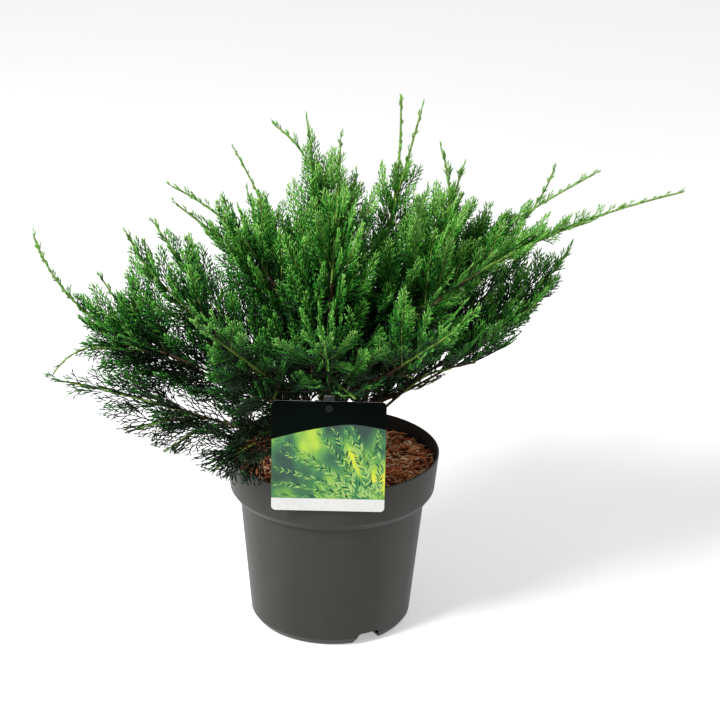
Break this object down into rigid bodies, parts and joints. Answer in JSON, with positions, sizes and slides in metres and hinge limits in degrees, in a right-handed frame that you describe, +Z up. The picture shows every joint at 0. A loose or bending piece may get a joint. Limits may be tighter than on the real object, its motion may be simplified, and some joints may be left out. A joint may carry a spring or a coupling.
{
  "type": "potted sea green juniper",
  "caption": "Young spreading evergreen shrub with feathery, arching shoots, standing in a round nursery pot of bark mulch with a picture label.",
  "frame": {"origin": "middle of the pot's flat underside, on the surface it stands on", "axes": "+Z up, -Y towards the viewer of the picture and the label, +X to the viewer's right, along the crown's widest spread"},
  "size_m": [0.7393, 0.5351, 0.656],
  "materials": {
    "pot_plastic": "matte, dark grey-olive, lightly scuffed",
    "bark_mulch": "rough, loose shredded bark",
    "label_print": "printed card with a light gloss",
    "stake_plastic": "clear plastic stake with a dark peg",
    "bark": "rough, thin flaking bark",
    "needles": "soft scale leaves, slightly waxy"
  },
  "bodies": {
    "root": {"pot": "pot_plastic", "bark_mulch": "bark_mulch", "label_card": "label_print", "label_stake": "stake_plastic", "trunk": "bark", "bough_left": "bark", "bough_left_shoulder": "bark", "bough_left_droop": "bark", "bough_left_low": "bark", "bough_front_left_low": "bark", "bough_arching_left": "bark", "bough_crest_left": "bark", "bough_upper_left": "bark", "bough_crest_top": "bark", "bough_crest_right": "bark", "bough_crest_front": "bark", "bough_right_whip": "bark", "bough_right_upper": "bark", "bough_right_shoulder": "bark", "bough_right_outer": "bark", "bough_right_edge": "bark", "bough_right_low": "bark", "bough_front_left": "bark", "bough_front_middle": "bark", "bough_front_right": "bark", "bough_back_right": "bark", "bough_back_right_high": "bark", "bough_back_right_low": "bark", "bough_back_middle": "bark", "bough_back_left": "bark", "bough_back_left_high": "bark", "bough_back_left_low": "bark", "plume_left": "needles", "plume_left_shoulder": "needles", "plume_left_droop": "needles", "plume_left_low": "needles", "plume_front_left_low": "needles", "plume_arching_left": "needles", "plume_crest_left": "needles", "plume_upper_left": "needles", "plume_crest_top": "needles", "plume_crest_right": "needles", "plume_crest_front": "needles", "plume_right_whip": "needles", "plume_right_upper": "needles", "plume_right_shoulder": "needles", "plume_right_outer": "needles", "plume_right_edge": "needles", "plume_right_low": "needles", "plume_front_left": "needles", "plume_front_middle": "needles", "plume_front_right": "needles", "plume_back_right": "needles", "plume_back_right_high": "needles", "plume_back_right_low": "needles", "plume_back_middle": "needles", "plume_back_left": "needles", "plume_back_left_high": "needles", "plume_back_left_low": "needles"}
  },
  "joints": []
}
